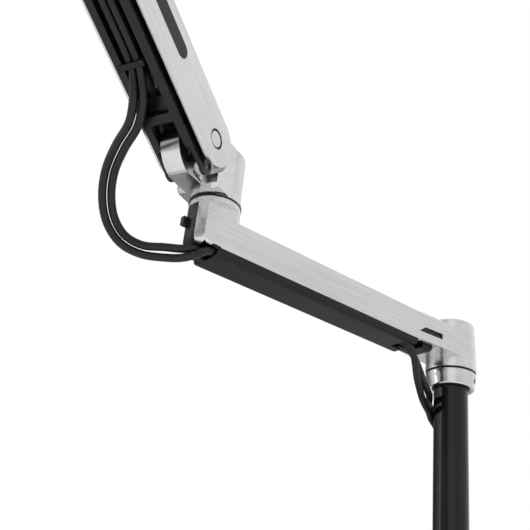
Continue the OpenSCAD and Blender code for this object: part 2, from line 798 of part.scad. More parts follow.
// A stretch of the route p between two of its points; neighbours share their end rings
module cable(p, from, to) {
    normals = [for (i = 0, n = carry([0, 0, 1], tangent(p, 0)); i < len(p);
        i = i + 1, n = carry(n, tangent(p, min(i, len(p) - 1)))) n];
    rings = [for (i = [from:to], q = ring(p[i], tangent(p, i), normals[i], cable_r)) q];
    count = to - from;
    walls = [for (i = [0:count - 1], k = [0:sides - 1], f = [
        [(i + 1) * sides + (k + 1) % sides, i * sides + (k + 1) % sides, i * sides + k],
        [(i + 1) * sides + k, (i + 1) * sides + (k + 1) % sides, i * sides + k]]) f];
    ends = [[for (k = [0:sides - 1]) k], [for (k = [sides - 1:-1:0]) count * sides + k]];
    polyhedron(points = rings, faces = concat(walls, ends), convexity = 8);
}

function from_link(p) = [for (q = p) [elbow[0] + q[0],
    elbow[1] - pivot_fwd - q[1] * cos(arm_lift) + q[2] * sin(arm_lift),
    elbow_z + low_up + q[1] * sin(arm_lift) + q[2] * cos(arm_lift)]];
function from_turret(p) = [for (q = p) [elbow[0] + q[0], elbow[1] + q[1], elbow_z + q[2]]];
function from_extension(p) = [for (q = p) [q[0] * cos(ext_turn) - q[1] * sin(ext_turn),
    -q[0] * sin(ext_turn) - q[1] * cos(ext_turn), q[2]]];

// Along the lower link: [across, along the link, above its pivot line]
lanes = [-5.5, 2];
lane_up = -5;
arm_end = 340;
arm_start = 110;

// Free loops beside the elbow, in the turret's frame, from the lower link to the cover
loop_a = [[-6, -136, 52.9], [-6.7, -130.2, 46.5], [-7, -127, 39], [-9, -122, 30],
    [-17.6, -111.7, 18.6], [-37, -99.8, 9.1], [-54.4, -86.6, -2.1], [-64.2, -74.2, -16.4],
    [-67, -61.6, -32.4], [-62.2, -52.8, -45.1], [-54.4, -45.8, -53.4], [-40.3, -37.8, -59.4],
    [-22.4, -30.8, -61.4], [-8.8, -26.2, -61.4], [2.2, -20.9, -57.4], [7, -13.4, -50.3]];
loop_b = [[1.4, -136, 52.9], [0.6, -129.5, 47], [-0.5, -124.3, 39.5], [-2.8, -117.7, 30.9],
    [-12.6, -106.3, 17.7], [-32.4, -94.2, 7.6], [-49.2, -81.4, -2.5], [-58.3, -69.8, -15.2],
    [-61, -58.4, -29.5], [-56.7, -51.2, -40.6], [-50.2, -46.2, -47.3], [-38, -40.2, -52.6],
    [-21, -34, -53.5], [-9.4, -28.4, -53.8], [-4.4, -23.6, -52.3], [-2.4, -19.2, -50.4]];

// Inside the extension and down from the cover's outlet: [across, along to the elbow, up]
run_a = [[11, 316, 352], [8.5, 300, 354], [8.5, 108, 354], [8.8, 93, 353.2]];
run_b = [[4, 324, 351.5], [0.9, 308, 354], [0.9, 108, 354], [1.2, 94, 353.6]];
drop_a = [[9.6, 81, 350.2], [10.6, 72.4, 342.6], [10.3, 67, 331.5], [6.4, 60, 320.5],
    [0, 48.6, 312], [-9, 32, 304]];
drop_b = [[2.2, 81, 352.2], [3.4, 70, 347.6], [4.6, 61.5, 338.6], [4.4, 53.4, 328], [0.6, 43, 319.5],
    [-6.5, 26, 311.5]];

// Round the pole and down behind it
back_a = [[-20.9, -6, 298], [-21.6, 3, 294.5], [-19.4, 11.8, 289], [-17.3, 16.8, 282],
    [-15.8, 19.8, 272]];
back_b = [[-22.9, 1.4, 308], [-19.8, 12.6, 303], [-14, 20.5, 297], [-9.8, 23.5, 288],
    [-8.5, 23.9, 272]];

// Over the base plate and along the desk to the plugs
tail_a_route = [[-15.8, 19.8, 50], [-19.5, 19.5, 37], [-29, 15, 30.5], [-40, 10, 22],
    [-54, 7, 15.5], [-68, 5, 11.5], [-84, 4, 5], [-100, 4, 3.6], [-135, 0, 3.6],
    [-165, -12, 3.6], [-190, -33, 3.6], [-202, -61, 3.6], [-199, -92, 3.6], [-181, -117, 3.6],
    [-154, -131, 3.6], [-125, -133, 3.6]];
tail_b_route = [[-8.5, 23.9, 50], [-12, 28, 38], [-24, 26.5, 31.5], [-39, 19.5, 23],
    [-54, 15, 15.5], [-68, 13, 11.5], [-84, 12, 5], [-100, 12, 3.6], [-136, 8, 3.6],
    [-169, -5, 3.6], [-197, -29, 3.6], [-210.5, -61, 3.6], [-207, -95, 3.6], [-187, -123, 3.6],
    [-157, -139.5, 3.6], [-125, -142, 3.6]];

function along_arm(x) = from_link([[x, arm_end, lane_up], [x, arm_start, lane_up]]);
route_a = concat(along_arm(lanes[0]), from_turret(loop_a), from_extension(concat(run_a, drop_a)),
    back_a, tail_a_route);
route_b = concat(along_arm(lanes[1]), from_turret(loop_b), from_extension(concat(run_b, drop_b)),
    back_b, tail_b_route);
routes = [route_a, route_b];

// Where one stretch ends and the next begins, counted along both routes
at_link = 1;
at_loop_low = 9;
at_cover = 17;
at_outlet = 21;
at_pole = 32;
at_foot = 33;
at_plug = 48;

module arm_cables() {
    color("dimgray") for (p = routes) cable(p, 0, at_link);
}
module loop_a_upper() {
    color("dimgray") cable(route_a, at_link, at_loop_low);
}
module loop_b_upper() {
    color("dimgray") cable(route_b, at_link, at_loop_low);
}
module loop_a_lower() {
    color("dimgray") cable(route_a, at_loop_low, at_cover);
}
module loop_b_lower() {
    color("dimgray") cable(route_b, at_loop_low, at_cover);
}
module extension_cables() {
    color("dimgray") for (p = routes) cable(p, at_cover, at_outlet);
}
module hang_a() {
    color("dimgray") cable(route_a, at_outlet, at_pole);
}
module hang_b() {
    color("dimgray") cable(route_b, at_outlet, at_pole);
}
module pole_cables() {
    color("dimgray") for (p = routes) cable(p, at_pole, at_foot);
}
module tail_a() {
    color("dimgray") cable(route_a, at_foot, at_plug);
}
module tail_b() {
    color("dimgray") cable(route_b, at_foot, at_plug);
}

// A plug along +Z: body and metal tip
module plug() {
    cylinder(r = cable_r + 0.1, h = 20);
    cylinder(r = 2.4, h = 28);
}
module cable_plugs() {
    color("black") on_lower_link() for (x = lanes) translate([x, -arm_end, lane_up])
        rotate([90, 0, 0]) plug();
}
module desk_plugs() {
    color("black") for (p = routes) translate(p[at_plug])
        rotate([0, 90, atan2(tangent(p, at_plug)[1], tangent(p, at_plug)[0])]) plug();
}

// ---------------------------------------------------------------- nodes

base_plate();
desk_pad();
clamp_bracket();
bracket_screws();
pole_flange();
flange_screws();
pole();
pole_cap();
pole_clips();
clamp_foot();
clamp_screw();
clamp_knob();
height_collar();
collar_sleeve();
collar_screws();
swivel_bush();
extension_beam();
socket_liner();
slot_inserts();
cable_cover();
elbow_bush();
elbow_sleeve();
turret();
elbow_spindle();
spindle_nut();
turret_pins();
spring_yoke();
upper_link();
pivot_caps();
side_plaques();
tension_spring();
tension_nut();
tension_screw();
lower_link();
cable_clips();
head_block();
head_pins();
pan_bush();
pan_yoke();
tilt_block();
tilt_bolt();
display_plate();
rotation_bolt();
arm_cables();
cable_plugs();
loop_a_upper();
loop_b_upper();
loop_a_lower();
loop_b_lower();
extension_cables();
hang_a();
hang_b();
pole_cables();
tail_a();
tail_b();
desk_plugs();
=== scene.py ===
# Monitor arm: finishes, rounded castings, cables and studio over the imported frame. Metres, +Z up.
import json
import math

import bmesh
import bpy
from mathutils import Matrix, Vector


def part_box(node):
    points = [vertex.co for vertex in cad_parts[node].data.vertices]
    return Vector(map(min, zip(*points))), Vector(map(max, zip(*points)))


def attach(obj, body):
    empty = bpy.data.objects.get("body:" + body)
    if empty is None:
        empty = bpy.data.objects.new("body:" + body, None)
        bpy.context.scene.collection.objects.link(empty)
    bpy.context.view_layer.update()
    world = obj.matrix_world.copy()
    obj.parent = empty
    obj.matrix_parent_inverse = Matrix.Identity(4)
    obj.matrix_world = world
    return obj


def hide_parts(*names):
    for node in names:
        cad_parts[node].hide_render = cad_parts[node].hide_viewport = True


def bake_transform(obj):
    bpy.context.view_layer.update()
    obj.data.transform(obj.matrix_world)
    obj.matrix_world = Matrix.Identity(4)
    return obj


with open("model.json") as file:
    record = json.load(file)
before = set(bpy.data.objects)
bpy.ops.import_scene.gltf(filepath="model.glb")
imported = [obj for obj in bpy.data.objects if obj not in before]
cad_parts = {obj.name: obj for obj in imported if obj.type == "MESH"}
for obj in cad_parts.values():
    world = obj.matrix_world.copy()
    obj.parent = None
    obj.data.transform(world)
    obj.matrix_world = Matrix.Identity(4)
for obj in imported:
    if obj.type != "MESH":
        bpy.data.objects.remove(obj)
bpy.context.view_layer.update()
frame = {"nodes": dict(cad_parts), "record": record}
NODES = frame["nodes"]
MM = 0.001

# ---------------------------------------------------------------- places, as in the CAD source

EXT_TURN = math.radians(24)
EXT_LEN = 0.318
ARM_LIFT = math.radians(28)
ARM_LEN = 0.395
ELBOW = Vector((-EXT_LEN * math.sin(EXT_TURN), -EXT_LEN * math.cos(EXT_TURN), 0.399))
MAIN_PIVOT = ELBOW + Vector((0, -0.048, 0.036))
LOW_PIVOT = ELBOW + Vector((0, -0.048, 0.012))
CABLE_D = 0.007


def mm(points):
    return [Vector(p) * MM for p in points]


def on_link(pivot):
    """Frame of a link: -Y along it, +Z over it."""
    return Matrix.Translation(pivot) @ Matrix.Rotation(-ARM_LIFT, 4, "X")


def from_extension(points):
    """Points given as across, along and up beside the extension."""
    c, s = math.cos(EXT_TURN), math.sin(EXT_TURN)
    return [Vector((x * c - y * s, -x * s - y * c, z)) for x, y, z in points]


# ---------------------------------------------------------------- camera

def add_camera():
    """Stands below and in front of the elbow and looks up at it."""
    place = (0.2257, -0.8157, 0.0312)
    turn, rise, roll = math.radians(29.6), math.radians(26.7), math.radians(6.4)
    flat = Vector((math.cos(turn), math.sin(turn), 0))
    ahead = Vector((-math.cos(rise) * math.sin(turn), math.cos(rise) * math.cos(turn), math.sin(rise)))
    up = flat.cross(ahead)
    right = math.cos(roll) * flat + math.sin(roll) * up
    top = -math.sin(roll) * flat + math.cos(roll) * up
    data = bpy.data.cameras.new("camera")
    data.lens = 56.4
    data.sensor_width = 36
    data.clip_end = 20
    camera = bpy.data.objects.new("camera", data)
    bpy.context.scene.collection.objects.link(camera)
    turned = Matrix((right, top, -ahead)).transposed().to_4x4()
    camera.matrix_world = Matrix.Translation(place) @ turned
    bpy.context.scene.camera = camera


add_camera()

# ---------------------------------------------------------------- materials

# The middle part of a noise's values, where nearly all of them lie
NOISE_SPAN = (0.38, 0.62)


def new_material(name, colour, metallic, roughness):
    """A plain material, with its nodes, links and shader for whoever adds to it."""
    material = bpy.data.materials.new(name)
    material.use_nodes = True
    shader = material.node_tree.nodes["Principled BSDF"]
    shader.inputs["Base Color"].default_value = (*colour, 1)
    shader.inputs["Metallic"].default_value = metallic
    shader.inputs["Roughness"].default_value = roughness
    return material, material.node_tree.nodes, material.node_tree.links, shader


def add_noise(nodes, links, scale, stretch=(1, 1, 1), detail=4.0, turn=(0, 0, 0)):
    """Noise in object space, drawn out by stretch along the axes that turn gives."""
    place = nodes.new("ShaderNodeTexCoord")
    mapping = nodes.new("ShaderNodeMapping")
    mapping.vector_type = "TEXTURE"
    mapping.inputs["Scale"].default_value = stretch
    mapping.inputs["Rotation"].default_value = turn
    links.new(place.outputs["Object"], mapping.inputs["Vector"])
    noise = nodes.new("ShaderNodeTexNoise")
    noise.inputs["Scale"].default_value = scale
    noise.inputs["Detail"].default_value = detail
    links.new(mapping.outputs["Vector"], noise.inputs["Vector"])
    return noise.outputs["Fac"]


def ranged(nodes, links, value, low, high, from_low=0.3, from_high=0.7):
    """The value's span from_low to from_high, spread over low to high."""
    span = nodes.new("ShaderNodeMapRange")
    span.inputs["From Min"].default_value = from_low
    span.inputs["From Max"].default_value = from_high
    span.inputs["To Min"].default_value = low
    span.inputs["To Max"].default_value = high
    links.new(value, span.inputs["Value"])
    return span.outputs["Result"]


def mixed_colour(nodes, links, factor, dark, light):
    mix = nodes.new("ShaderNodeMix")
    mix.data_type = "RGBA"
    mix.inputs["A"].default_value = (*dark, 1)
    mix.inputs["B"].default_value = (*light, 1)
    links.new(factor, mix.inputs["Factor"])
    return mix.outputs["Result"]


def averaged(nodes, links, first, second):
    mix = nodes.new("ShaderNodeMix")
    mix.data_type = "FLOAT"
    mix.inputs["Factor"].default_value = 0.5
    links.new(first, mix.inputs["A"])
    links.new(second, mix.inputs["B"])
    return mix.outputs["Result"]


def add_bump(nodes, links, shader, height, strength, distance):
    bump = nodes.new("ShaderNodeBump")
    bump.inputs["Strength"].default_value = strength
    bump.inputs["Distance"].default_value = distance
    links.new(height, bump.inputs["Height"])
    links.new(bump.outputs["Normal"], shader.inputs["Normal"])


def metal(name, dark, light, rough, grain, stretch=(1, 1, 1), turn=(0, 0, 0), bump=0.1, depth=0.00004,
          blotch=30):
    """Bare metal: a brushed or blasted grain, and slow cloudy changes of tone and gloss."""
    material, nodes, links, shader = new_material(name, light, 1.0, rough[0])
    milder = tuple(1 + (k - 1) * 0.25 for k in stretch)
    fine = add_noise(nodes, links, grain, stretch, detail=5, turn=turn)
    broad = add_noise(nodes, links, blotch, milder, detail=4, turn=turn)
    both = averaged(nodes, links, fine, broad)
    links.new(mixed_colour(nodes, links, ranged(nodes, links, both, 0, 1, *NOISE_SPAN), dark, light),
              shader.inputs["Base Color"])
    links.new(ranged(nodes, links, both, *rough, *NOISE_SPAN), shader.inputs["Roughness"])
    add_bump(nodes, links, shader, fine, bump, depth)
    return material


def coated(name, dark, light, rough, grain, shine, bump=0.2, depth=0.0001, blotch=25):
    """Paint, plastic or rubber: a fine even grain, faint scuffs and slow changes of tone."""
    material, nodes, links, shader = new_material(name, light, 0.0, rough[0])
    shader.inputs["Specular IOR Level"].default_value = shine
    slow = add_noise(nodes, links, blotch, detail=3)
    fine = add_noise(nodes, links, grain, detail=5)
    links.new(mixed_colour(nodes, links, ranged(nodes, links, slow, 0, 1), dark, light),
              shader.inputs["Base Color"])
    links.new(ranged(nodes, links, averaged(nodes, links, slow, fine), *rough, *NOISE_SPAN),
              shader.inputs["Roughness"])
    add_bump(nodes, links, shader, fine, bump, depth)
    return material


# Directions of the brushed grain
ALONG_BEAM = (0, 0, -EXT_TURN)
ALONG_LINK = (-ARM_LIFT, 0, 0)
MATERIALS = {
    "cast_alloy": metal("cast_alloy", (0.60, 0.60, 0.595), (0.69, 0.69, 0.68), (0.17, 0.25), 700,
                        bump=0.01, depth=0.00001, blotch=45),
    "polished_alloy": metal("polished_alloy", (0.60, 0.60, 0.595), (0.72, 0.72, 0.71), (0.20, 0.30), 450,
                            stretch=(1, 30, 1), turn=ALONG_LINK, bump=0.03, depth=0.00002, blotch=60),
    "steel": metal("steel", (0.46, 0.46, 0.47), (0.62, 0.62, 0.62), (0.18, 0.30), 1500,
                   stretch=(1, 1, 8), bump=0.08),
    "spring_steel": metal("spring_steel", (0.045, 0.045, 0.05), (0.09, 0.09, 0.095), (0.3, 0.42), 900),
    "brass": metal("brass", (0.48, 0.34, 0.15), (0.64, 0.48, 0.23), (0.22, 0.34), 900),
    "black_metal": coated("black_metal", (0.0022, 0.0022, 0.0024), (0.0045, 0.0045, 0.0048),
                          (0.24, 0.34), 2600, 0.35, bump=0.18, depth=0.00006),
    "black_plastic": coated("black_plastic", (0.0028, 0.0028, 0.003), (0.006, 0.006, 0.0063),
                            (0.36, 0.48), 2200, 0.30, bump=0.30),
    "white_plastic": coated("white_plastic", (0.66, 0.66, 0.64), (0.74, 0.74, 0.72), (0.4, 0.5), 800, 0.5,
                            bump=0.1),
    "pad_rubber": coated("pad_rubber", (0.005, 0.005, 0.005), (0.012, 0.012, 0.012), (0.65, 0.85), 900,
                         0.3, bump=0.5, depth=0.0002),
    "cable_jacket": coated("cable_jacket", (0.004, 0.004, 0.0045), (0.009, 0.009, 0.0095),
                           (0.30, 0.42), 600, 0.35, bump=0.12),
}
BRUSHED_BEAM = metal("brushed_beam", (0.61, 0.61, 0.605), (0.72, 0.72, 0.71), (0.20, 0.30), 420,
                     stretch=(1, 30, 1), turn=ALONG_BEAM, bump=0.02, depth=0.00001, blotch=55)
GLOSS_PAINT = coated("gloss_paint", (0.0015, 0.0015, 0.0017), (0.003, 0.003, 0.0033), (0.12, 0.18), 1800,
                     0.35, bump=0.06, depth=0.00004)
# Nodes whose finish is finer than their slot's
FINISH_OF = {"extension_beam": BRUSHED_BEAM, "pole": GLOSS_PAINT}
SLOT_OF = {part["node"]: part["material_slot"] for part in frame["record"]["subparts"]}
BODY_OF = {node: body for body, group in frame["record"]["behaviour"]["bodies"].items()
           for node in group}


# ---------------------------------------------------------------- pieces

def paint(piece, slot, finish=None):
    """Gives a piece the material of its slot, unless a finish of its own is named."""
    piece.data.materials.clear()
    piece.data.materials.append(finish or MATERIALS[slot])


def add_piece(name, mesh, body, slot, finish=None):
    """A new piece that rides on a body, or on none if none is given."""
    piece = bpy.data.objects.new(name, mesh)
    bpy.context.scene.collection.objects.link(piece)
    if body:
        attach(piece, body)
    paint(piece, slot, finish)
    return piece


def apply_modifiers(piece):
    """Bakes a piece's modifiers into its mesh."""
    ready = piece.evaluated_get(bpy.context.evaluated_depsgraph_get())
    mesh = bpy.data.meshes.new_from_object(ready)
    piece.modifiers.clear()
    piece.data = mesh


def shade(mesh, angle=40):
    """Smooth shading that stays sharp across real edges."""
    for face in mesh.polygons:
        face.use_smooth = True
    mesh.set_sharp_from_angle(angle=math.radians(angle))


def soften(node, width, segments=3, angle=32):
    """Stands a copy of a CAD node in its place, with its edges rounded."""
    form = bmesh.new()
    form.from_mesh(NODES[node].data)
    bmesh.ops.remove_doubles(form, verts=form.verts, dist=1e-6)
    bmesh.ops.dissolve_limit(form, angle_limit=math.radians(0.5), verts=form.verts, edges=form.edges)
    mesh = bpy.data.meshes.new(node + "_soft")
    form.to_mesh(mesh)
    form.free()
    piece = add_piece(node + "_soft", mesh, BODY_OF[node], SLOT_OF[node], FINISH_OF.get(node))
    bevel = piece.modifiers.new("bevel", "BEVEL")
    bevel.width = width
    bevel.segments = segments
    bevel.limit_method = "ANGLE"
    bevel.angle_limit = math.radians(angle)
    bevel.use_clamp_overlap = True
    apply_modifiers(piece)
    shade(piece.data)
    even = piece.modifiers.new("even", "WEIGHTED_NORMAL")
    even.keep_sharp = True
    apply_modifiers(piece)
    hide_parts(node)


# ---------------------------------------------------------------- cables

def smooth_path(points, step=0.004):
    """A centripetal curve through the points in even steps, and where each point is along it."""
    ends = [2 * points[0] - points[1], *points, 2 * points[-1] - points[-2]]
    fine = []
    marks = []
    for a, b, c, d in zip(ends, ends[1:], ends[2:], ends[3:]):
        t0 = 0.0
        t1 = t0 + math.sqrt((b - a).length)
        t2 = t1 + math.sqrt((c - b).length)
        t3 = t2 + math.sqrt((d - c).length)
        count = max(2, round((c - b).length / step))
        marks.append(len(fine))
        for i in range(count):
            t = t1 + (t2 - t1) * i / count
            ab = a.lerp(b, (t - t0) / (t1 - t0))
            bc = b.lerp(c, (t - t1) / (t2 - t1))
            cd = c.lerp(d, (t - t2) / (t3 - t2))
            abc = ab.lerp(bc, (t - t0) / (t2 - t0))
            bcd = bc.lerp(cd, (t - t1) / (t3 - t1))
            fine.append(abc.lerp(bcd, (t - t1) / (t2 - t1)))
    marks.append(len(fine))
    fine.append(points[-1].copy())
    return fine, marks


def length_of(path):
    return sum((b - a).length for a, b in zip(path, path[1:]))


def rings_along(path, radius, sides=20):
    """Rings round a path, carried along it without twist."""
    rings = []
    across = None
    for i, point in enumerate(path):
        along = (path[min(i + 1, len(path) - 1)] - path[max(i - 1, 0)]).normalized()
        across = across or along.orthogonal()
        across = (across - across.dot(along) * along).normalized()
        other = along.cross(across)
        turns = [2 * math.pi * k / sides for k in range(sides)]
        rings.append([point + radius * (math.cos(t) * across + math.sin(t) * other) for t in turns])
    return rings


def skin(form, rings):
    """Closed skin over a row of rings."""
    rows = [[form.verts.new(point) for point in ring] for ring in rings]
    for low, high in zip(rows, rows[1:]):
        for k in range(len(low)):
            after = (k + 1) % len(low)
            form.faces.new((low[k], low[after], high[after], high[k]))
    form.faces.new(list(reversed(rows[0])))
    form.faces.new(rows[-1])


def skinned_mesh(name, stretches, angle=50):
    """One mesh of a skin over each stretch of rings."""
    form = bmesh.new()
    for rings in stretches:
        skin(form, rings)
    mesh = bpy.data.meshes.new(name)
    form.to_mesh(mesh)
    form.free()
    shade(mesh, angle)
    return mesh


# The routes as in the CAD source, in millimetres. In the lower link: each lane's place across,
# where it starts and ends along the link, and its height over the link's pivot line.
LANES = {"a": -5.5, "b": 2}
ARM_RUN = (340, 110)
LANE_UP = -5
# Free loops beside the elbow, from the turret's middle
LOOPS = {
    "a": [(-6, -136, 52.9), (-6.7, -130.2, 46.5), (-7, -127, 39), (-9, -122, 30),
          (-17.6, -111.7, 18.6), (-37, -99.8, 9.1), (-54.4, -86.6, -2.1), (-64.2, -74.2, -16.4),
          (-67, -61.6, -32.4), (-62.2, -52.8, -45.1), (-54.4, -45.8, -53.4), (-40.3, -37.8, -59.4),
          (-22.4, -30.8, -61.4), (-8.8, -26.2, -61.4), (2.2, -20.9, -57.4), (7, -13.4, -50.3)],
    "b": [(1.4, -136, 52.9), (0.6, -129.5, 47), (-0.5, -124.3, 39.5), (-2.8, -117.7, 30.9),
          (-12.6, -106.3, 17.7), (-32.4, -94.2, 7.6), (-49.2, -81.4, -2.5), (-58.3, -69.8, -15.2),
          (-61, -58.4, -29.5), (-56.7, -51.2, -40.6), (-50.2, -46.2, -47.3), (-38, -40.2, -52.6),
          (-21, -34, -53.5), (-9.4, -28.4, -53.8), (-4.4, -23.6, -52.3), (-2.4, -19.2, -50.4)],
}
# Inside the extension, and down from the cover's outlet: across, along and up
RUNS = {
    "a": [(11, 316, 352), (8.5, 300, 354), (8.5, 108, 354), (8.8, 93, 353.2)],
    "b": [(4, 324, 351.5), (0.9, 308, 354), (0.9, 108, 354), (1.2, 94, 353.6)],
}
DROPS = {
    "a": [(9.6, 81, 350.2), (10.6, 72.4, 342.6), (10.3, 67, 331.5), (6.4, 60, 320.5),
          (0, 48.6, 312), (-9, 32, 304)],
    "b": [(2.2, 81, 352.2), (3.4, 70, 347.6), (4.6, 61.5, 338.6), (4.4, 53.4, 328), (0.6, 43, 319.5),
          (-6.5, 26, 311.5)],
}
# Round the pole and down behind it, then along the desk
BACKS = {
    "a": [(-20.9, -6, 298), (-21.6, 3, 294.5), (-19.4, 11.8, 289), (-17.3, 16.8, 282), (-15.8, 19.8, 272)],
    "b": [(-22.9, 1.4, 308), (-19.8, 12.6, 303), (-14, 20.5, 297), (-9.8, 23.5, 288), (-8.5, 23.9, 272)],
}
TAILS = {
    "a": [(-15.8, 19.8, 50), (-19.5, 19.5, 37), (-29, 15, 30.5), (-40, 10, 22), (-54, 7, 15.5),
          (-68, 5, 11.5), (-84, 4, 5), (-100, 4, 3.6), (-135, 0, 3.6), (-165, -12, 3.6),
          (-190, -33, 3.6), (-202, -61, 3.6), (-199, -92, 3.6), (-181, -117, 3.6), (-154, -131, 3.6),
          (-125, -133, 3.6)],
    "b": [(-8.5, 23.9, 50), (-12, 28, 38), (-24, 26.5, 31.5), (-39, 19.5, 23), (-54, 15, 15.5),
          (-68, 13, 11.5), (-84, 12, 5), (-100, 12, 3.6), (-136, 8, 3.6), (-169, -5, 3.6),
          (-197, -29, 3.6), (-210.5, -61, 3.6), (-207, -95, 3.6), (-187, -123, 3.6),
          (-157, -139.5, 3.6), (-125, -142, 3.6)],
}
# Where one stretch ends and the next begins, counted along the route's points
AT_LINK, AT_LOOP_LOW, AT_COVER, AT_OUTLET, AT_POLE, AT_FOOT, AT_PLUG = 1, 9, 17, 21, 32, 33, 48


def route_of(lane):
    """All the points of one cable, from the head end to the plug on the desk."""
    link = on_link(LOW_PIVOT)
    arm = [link @ (Vector((LANES[lane], -along, LANE_UP)) * MM) for along in ARM_RUN]
    loop = [point + ELBOW for point in mm(LOOPS[lane])]
    inside = from_extension(mm(RUNS[lane] + DROPS[lane]))
    return arm + loop + inside + mm(BACKS[lane] + TAILS[lane])


def add_cable(name, mesh, node, body=None, blended=None):
    """A stretch of cable in its CAD solid's place, riding on a body, or on none with its place baked into
    its mesh.
    """
    piece = add_piece(name, mesh, body, "cable_jacket")
    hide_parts(node)
    if blended:
        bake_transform(piece)
    return piece


def add_cables():
    """Both cables, cut where the CAD source cuts them; returns each one's whole length."""
    paths, rings, marks = {}, {}, {}
    for lane in LANES:
        paths[lane], marks[lane] = smooth_path(route_of(lane))
        rings[lane] = rings_along(paths[lane], CABLE_D / 2)
    free = (("cable_loop_upper_", "loop_%s_upper", AT_LINK, AT_LOOP_LOW, "lower_link", "turret"),
            ("cable_loop_lower_", "loop_%s_lower", AT_LOOP_LOW, AT_COVER, "turret", "extension"),
            ("cable_drop_", "hang_%s", AT_OUTLET, AT_POLE, "extension", "collar"))
    for lane in LANES:
        for name, node, start, end, first, second in free:
            low, high = marks[lane][start], marks[lane][end]
            stretch = paths[lane][low:high + 1]
            mesh = skinned_mesh(name + lane, [rings[lane][low:high + 1]])
            piece = add_cable(name + lane, mesh, node % lane,
                              blended=(first, second, stretch[0], stretch[-1]))
        low, high = marks[lane][AT_FOOT], marks[lane][AT_PLUG]
        stretch = paths[lane][low:high + 1]
        mesh = skinned_mesh("cable_tail_" + lane, [rings[lane][low:high + 1]])
        piece = add_cable("cable_tail_" + lane, mesh, "tail_" + lane, body="base")
    held = (("cables_in_arm", "arm_cables", 0, AT_LINK, "lower_link"),
            ("cables_in_extension", "extension_cables", AT_COVER, AT_OUTLET, "extension"),
            ("cables_behind_pole", "pole_cables", AT_POLE, AT_FOOT, None))
    for name, node, start, end, body in held:
        stretches = [rings[lane][marks[lane][start]:marks[lane][end] + 1] for lane in LANES]
        top, foot = (paths["a"][marks["a"][mark]] for mark in (AT_POLE, AT_FOOT))
        add_cable(name, skinned_mesh(name, stretches), node, body=body,
                  blended=None if body else ("collar", "base", top, foot))
    return {lane: length_of(path) for lane, path in paths.items()}


print("cable lengths, m:", add_cables())

# ---------------------------------------------------------------- rounded CAD pieces

# Width of the rounding along each node's edges, in millimetres
EDGES = {
    "extension_beam": 1.2, "turret": 1.4, "upper_link": 1.5, "lower_link": 0.8, "cable_cover": 0.8,
    "height_collar": 0.5, "head_block": 1.5, "pan_yoke": 1.5, "tilt_block": 1.2, "display_plate": 0.5,
    "base_plate": 1.5, "clamp_bracket": 1.2, "pole_flange": 0.4, "clamp_knob": 2.0, "clamp_foot": 1.0,
    "pole_clips": 0.5, "pole_cap": 0.6, "pivot_caps": 0.3, "side_plaques": 0.25, "cable_clips": 0.35,
    "slot_inserts": 0.2, "swivel_bush": 0.3, "elbow_bush": 0.3, "turret_pins": 0.5, "head_pins": 0.5,
    "tilt_bolt": 0.4, "rotation_bolt": 0.4, "bracket_screws": 0.4, "flange_screws": 0.4,
    "collar_screws": 0.2, "spring_yoke": 0.5, "tension_nut": 0.5, "tension_screw": 0.4,
    "desk_pad": 0.5, "cable_plugs": 0.5, "spindle_nut": 0.4, "elbow_spindle": 0.5, "pan_bush": 0.2,
    "pole": 0.2,
}
for node, width in EDGES.items():
    soften(node, width * MM)
# These keep their CAD shape
for node in ("desk_plugs", "socket_liner", "elbow_sleeve", "collar_sleeve"):
    NODES[node].data.materials.clear()
    NODES[node].data.materials.append(MATERIALS[SLOT_OF[node]])

# ---------------------------------------------------------------- spring and thread

def add_spring():
    """The coil round the tension screw, from the yoke's seat to the nut."""
    seat, nut = 0.0789, 0.2377  # along the link from its pivot
    coil_r, wire_r, turns, steps = 0.0078, 0.0015, 30, 24
    link = on_link(MAIN_PIVOT)
    path = []
    for i in range(turns * steps + 1):
        angle = 2 * math.pi * i / steps
        share = i / (turns * steps)
        along = seat + wire_r + share * (nut - seat - 2 * wire_r)
        path.append(link @ Vector((coil_r * math.cos(angle), -along, coil_r * math.sin(angle))))
    mesh = skinned_mesh("tension_coil", [rings_along(path, wire_r, sides=10)])
    piece = add_piece("tension_coil", mesh, None, "spring_steel")
    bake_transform(piece)
    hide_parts("tension_spring")


def threaded_rings(radius, depth, pitch, low, high, sides=32, per_turn=6):
    """Rings of a single-start thread about +Z, with plain ends."""
    steepness = 2.6  # of the flanks; the crest and the root take the rest of the pitch
    rows = round((high - low) / pitch * per_turn)
    rings = []
    for i in range(rows + 1):
        z = low + (high - low) * i / rows
        ring = []
        for k in range(sides):
            phase = (z / pitch - k / sides) % 1
            cut = depth * min(1, steepness * abs(phase - 0.5)) if 0 < i < rows else depth
            angle = 2 * math.pi * k / sides
            ring.append(Vector(((radius - cut) * math.cos(angle), (radius - cut) * math.sin(angle), z)))
        rings.append(ring)
    return rings


def add_clamp_thread():
    """The clamp's screw with its thread."""
    depth, pitch = 0.0013, 0.004
    low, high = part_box("clamp_screw")
    radius = (high[0] - low[0]) / 2
    middle = Vector(((low[0] + high[0]) / 2, (low[1] + high[1]) / 2, 0))
    rings = [[point + middle for point in ring]
             for ring in threaded_rings(radius, depth, pitch, low[2], high[2])]
    piece = add_piece("clamp_thread", skinned_mesh("clamp_thread", [rings], 30), "clamp_handle", "steel")
    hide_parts("clamp_screw")


# Section of the black ring painted into the groove round a pivot cap as its shade, in millimetres: [from
# the pivot's axis, from the link's middle]
GROOVE_SHADE_SECTION = [(7.3, 21.75), (8.85, 21.75), (8.85, 22.6), (8.4, 23.0), (7.8, 23.0), (7.3, 22.6)]


